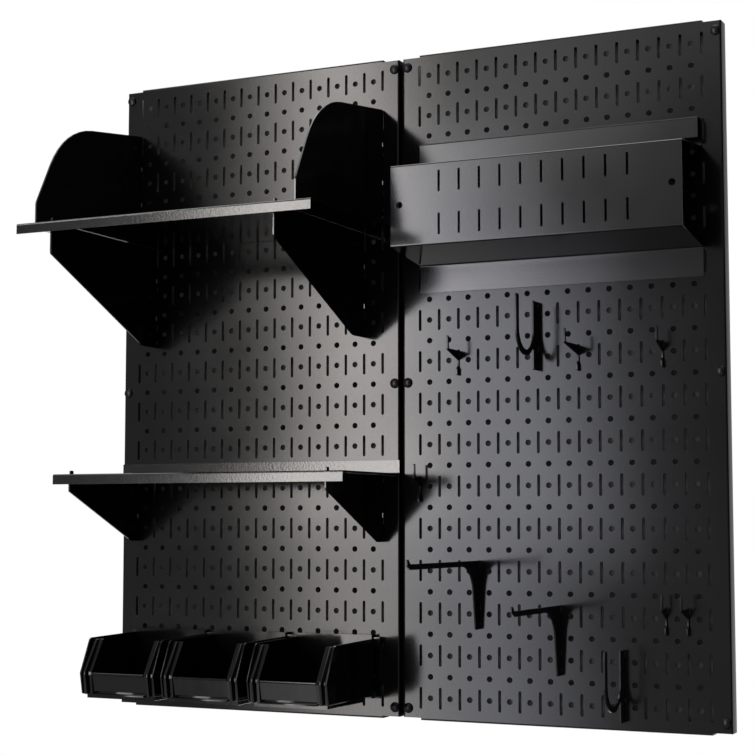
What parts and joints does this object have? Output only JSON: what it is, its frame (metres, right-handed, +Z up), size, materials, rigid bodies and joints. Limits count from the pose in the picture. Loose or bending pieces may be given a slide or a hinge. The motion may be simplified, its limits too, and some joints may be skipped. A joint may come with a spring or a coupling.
{
  "type": "slotted panel wall organiser",
  "caption": "Two slotted and punched steel wall panels carrying a deep shelf with end plates, a shelf, hanging bins, a slotted tool holder and hooks.",
  "frame": {"origin": "on the wall's face, at mid height of the joint between the two panels", "axes": "+X to the right as seen from the front, +Y into the wall, +Z up"},
  "size_m": [0.8078, 0.2578, 0.8154],
  "materials": {
    "panel_powder_coat": "satin black powder coat",
    "shelf_powder_coat": "semi-gloss black powder coat with orange peel",
    "hook_powder_coat": "semi-gloss black powder coat",
    "bin_plastic": "glossy moulded black plastic",
    "screw_finish": "black oxide screws"
  },
  "bodies": {
    "wall_panels": {"panel_left": "panel_powder_coat", "panel_right": "panel_powder_coat", "screw_left_inner_bottom": "screw_finish", "screw_left_inner_middle": "screw_finish", "screw_left_inner_top": "screw_finish", "screw_left_outer_bottom": "screw_finish", "screw_left_outer_middle": "screw_finish", "screw_left_outer_top": "screw_finish", "screw_right_inner_bottom": "screw_finish", "screw_right_inner_middle": "screw_finish", "screw_right_inner_top": "screw_finish", "screw_right_outer_bottom": "screw_finish", "screw_right_outer_middle": "screw_finish", "screw_right_outer_top": "screw_finish"},
    "upper_shelf": {"upper_shelf_deck": "shelf_powder_coat", "upper_support_left": "shelf_powder_coat", "upper_support_right": "shelf_powder_coat", "shelf_end_plate_left": "shelf_powder_coat", "shelf_end_plate_right": "shelf_powder_coat"},
    "middle_shelf": {"middle_shelf_deck": "shelf_powder_coat", "middle_bracket_left": "shelf_powder_coat", "middle_bracket_right": "shelf_powder_coat"},
    "bin_rail": {"bin_rail": "shelf_powder_coat"},
    "tool_holder": {"tool_holder": "shelf_powder_coat"},
    "bin_left": {"bin_left": "bin_plastic"},
    "bin_centre": {"bin_centre": "bin_plastic"},
    "bin_right": {"bin_right": "bin_plastic"},
    "small_hook_1": {"small_hook_1": "hook_powder_coat"},
    "small_hook_2": {"small_hook_2": "hook_powder_coat"},
    "small_hook_3": {"small_hook_3": "hook_powder_coat"},
    "small_hook_4": {"small_hook_4": "hook_powder_coat"},
    "small_hook_5": {"small_hook_5": "hook_powder_coat"},
    "small_hook_6": {"small_hook_6": "hook_powder_coat"},
    "u_hook_1": {"u_hook_1": "hook_powder_coat"},
    "u_hook_2": {"u_hook_2": "hook_powder_coat"},
    "arm_hook_1": {"arm_hook_1": "hook_powder_coat"},
    "arm_hook_2": {"arm_hook_2": "hook_powder_coat"}
  },
  "joints": [
    {"name": "upper_shelf_lift", "type": "slide", "parent": "wall_panels", "child": "upper_shelf", "axis": [0, 0, 1], "range_m": [0, 0.0063]},
    {"name": "middle_shelf_lift", "type": "slide", "parent": "wall_panels", "child": "middle_shelf", "axis": [0, 0, 1], "range_m": [0, 0.0063]},
    {"name": "bin_rail_lift", "type": "slide", "parent": "wall_panels", "child": "bin_rail", "axis": [0, 0, 1], "range_m": [0, 0.0063]},
    {"name": "tool_holder_lift", "type": "slide", "parent": "wall_panels", "child": "tool_holder", "axis": [0, 0, 1], "range_m": [0, 0.0063]},
    {"name": "bin_left_lift_off", "type": "slide", "parent": "bin_rail", "child": "bin_left", "axis": [0, 0, 1], "range_m": [0, 0.01]},
    {"name": "bin_centre_lift_off", "type": "slide", "parent": "bin_rail", "child": "bin_centre", "axis": [0, 0, 1], "range_m": [0, 0.01]},
    {"name": "bin_right_lift_off", "type": "slide", "parent": "bin_rail", "child": "bin_right", "axis": [0, 0, 1], "range_m": [0, 0.01]},
    {"name": "small_hook_1_lift", "type": "slide", "parent": "wall_panels", "child": "small_hook_1", "axis": [0, 0, 1], "range_m": [0, 0.0063]},
    {"name": "small_hook_2_lift", "type": "slide", "parent": "wall_panels", "child": "small_hook_2", "axis": [0, 0, 1], "range_m": [0, 0.0063]},
    {"name": "small_hook_3_lift", "type": "slide", "parent": "wall_panels", "child": "small_hook_3", "axis": [0, 0, 1], "range_m": [0, 0.0063]},
    {"name": "small_hook_4_lift", "type": "slide", "parent": "wall_panels", "child": "small_hook_4", "axis": [0, 0, 1], "range_m": [0, 0.0063]},
    {"name": "small_hook_5_lift", "type": "slide", "parent": "wall_panels", "child": "small_hook_5", "axis": [0, 0, 1], "range_m": [0, 0.0063]},
    {"name": "small_hook_6_lift", "type": "slide", "parent": "wall_panels", "child": "small_hook_6", "axis": [0, 0, 1], "range_m": [0, 0.0063]},
    {"name": "u_hook_1_lift", "type": "slide", "parent": "wall_panels", "child": "u_hook_1", "axis": [0, 0, 1], "range_m": [0, 0.0063]},
    {"name": "u_hook_2_lift", "type": "slide", "parent": "wall_panels", "child": "u_hook_2", "axis": [0, 0, 1], "range_m": [0, 0.0063]},
    {"name": "arm_hook_1_lift", "type": "slide", "parent": "wall_panels", "child": "arm_hook_1", "axis": [0, 0, 1], "range_m": [0, 0.0063]},
    {"name": "arm_hook_2_lift", "type": "slide", "parent": "wall_panels", "child": "arm_hook_2", "axis": [0, 0, 1], "range_m": [0, 0.0063]}
  ]
}
